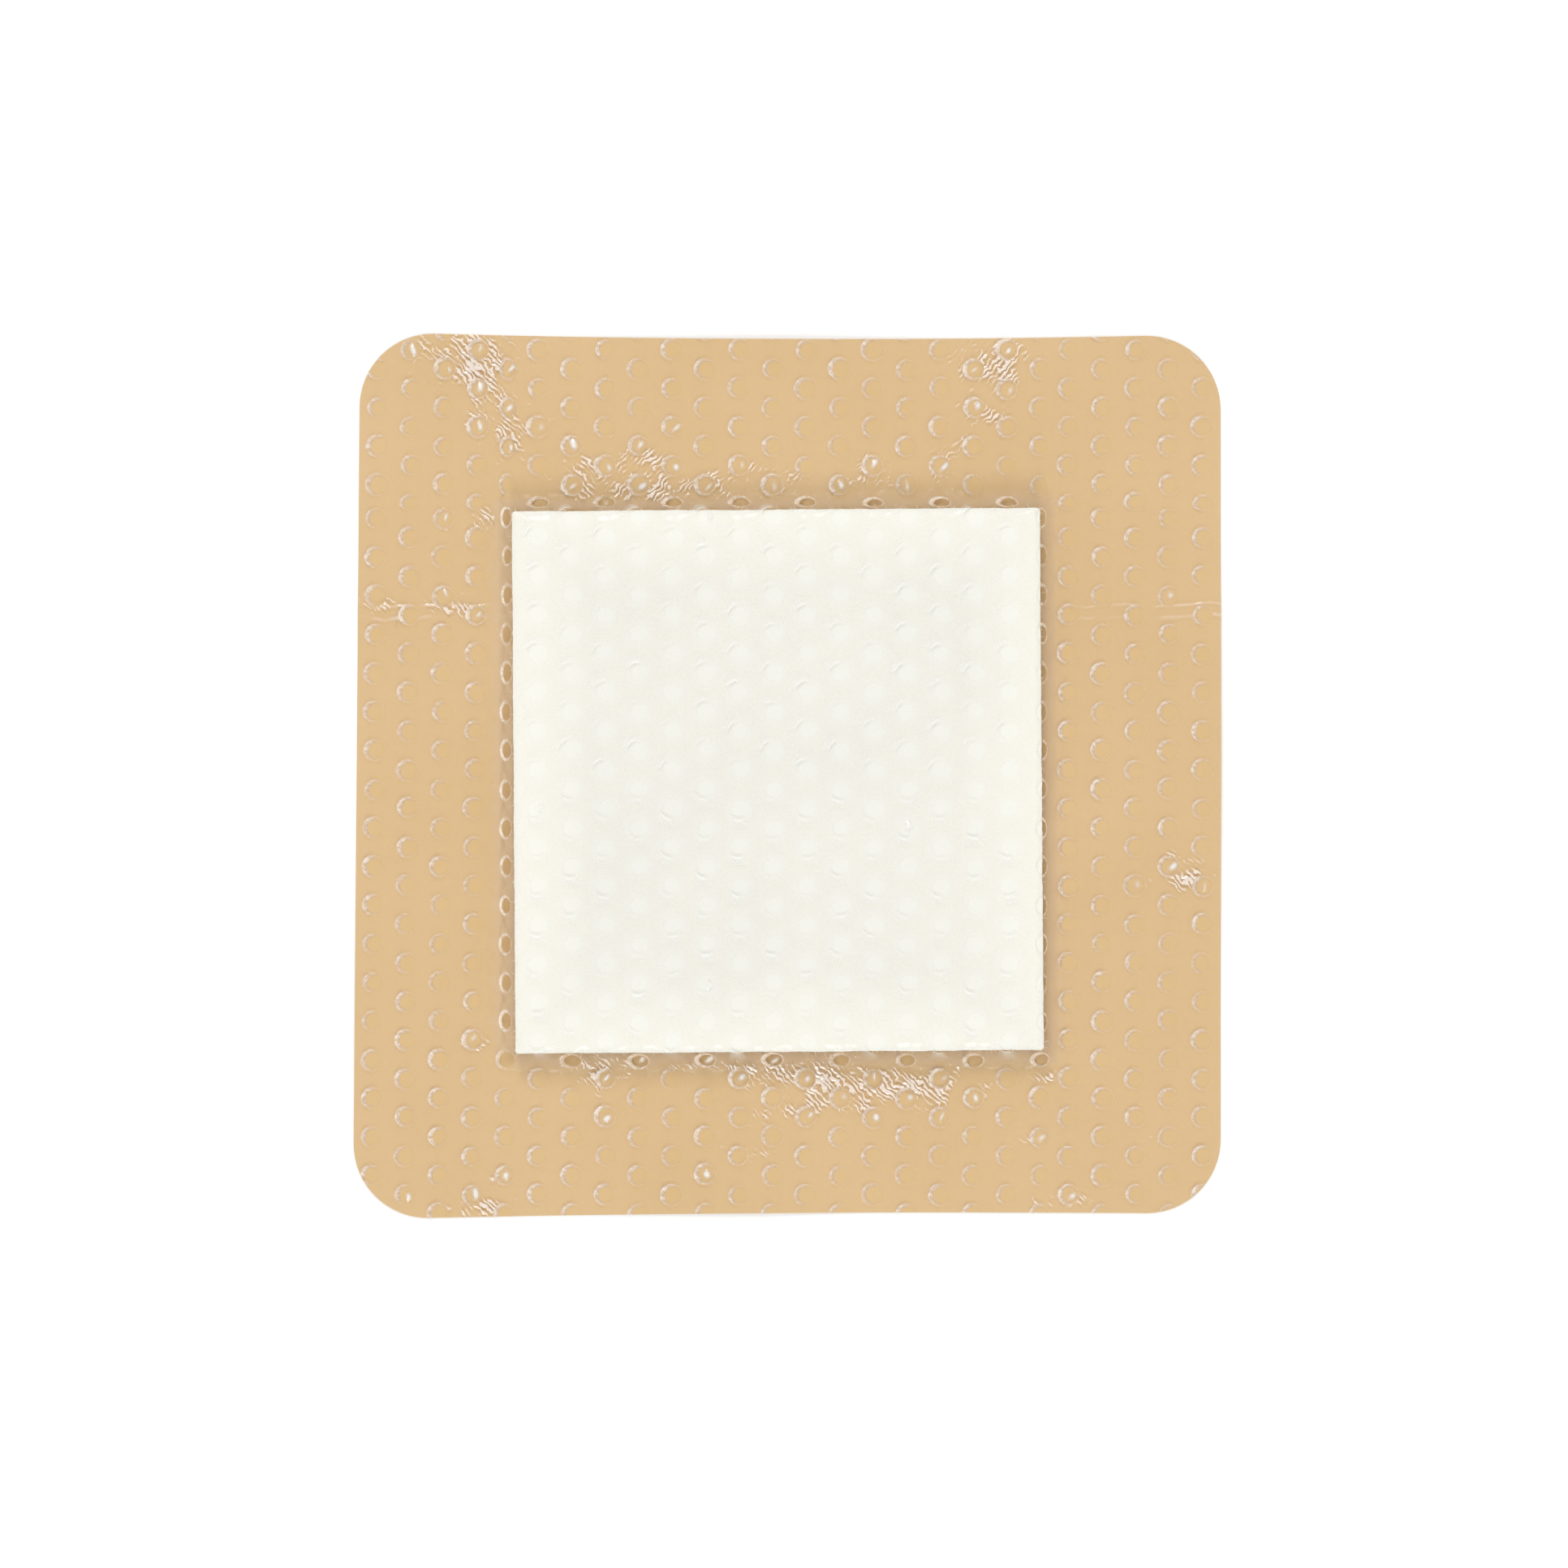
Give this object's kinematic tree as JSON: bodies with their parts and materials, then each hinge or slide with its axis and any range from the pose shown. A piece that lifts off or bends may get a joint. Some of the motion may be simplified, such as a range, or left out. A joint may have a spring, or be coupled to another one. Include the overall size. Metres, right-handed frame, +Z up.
{
  "type": "silicone foam dressing",
  "caption": "Square bordered wound dressing: a white foam pad on a tan backing film, covered by a clear perforated silicone film.",
  "frame": {"origin": "under the middle of the dressing, on the surface that it lies on", "axes": "+Z up through the wound side, +Y along the slightly longer side, +X across it"},
  "size_m": [0.0997, 0.1016, 0.004],
  "materials": {
    "backing_film": "thin tan polyurethane film, smooth",
    "foam": "white absorbent polyurethane foam, open cells",
    "clear_silicone": "clear soft silicone film, glossy, perforated"
  },
  "bodies": {
    "root": {"backing_film": "backing_film", "foam_pad": "foam", "silicone_contact_layer": "clear_silicone"}
  },
  "joints": []
}
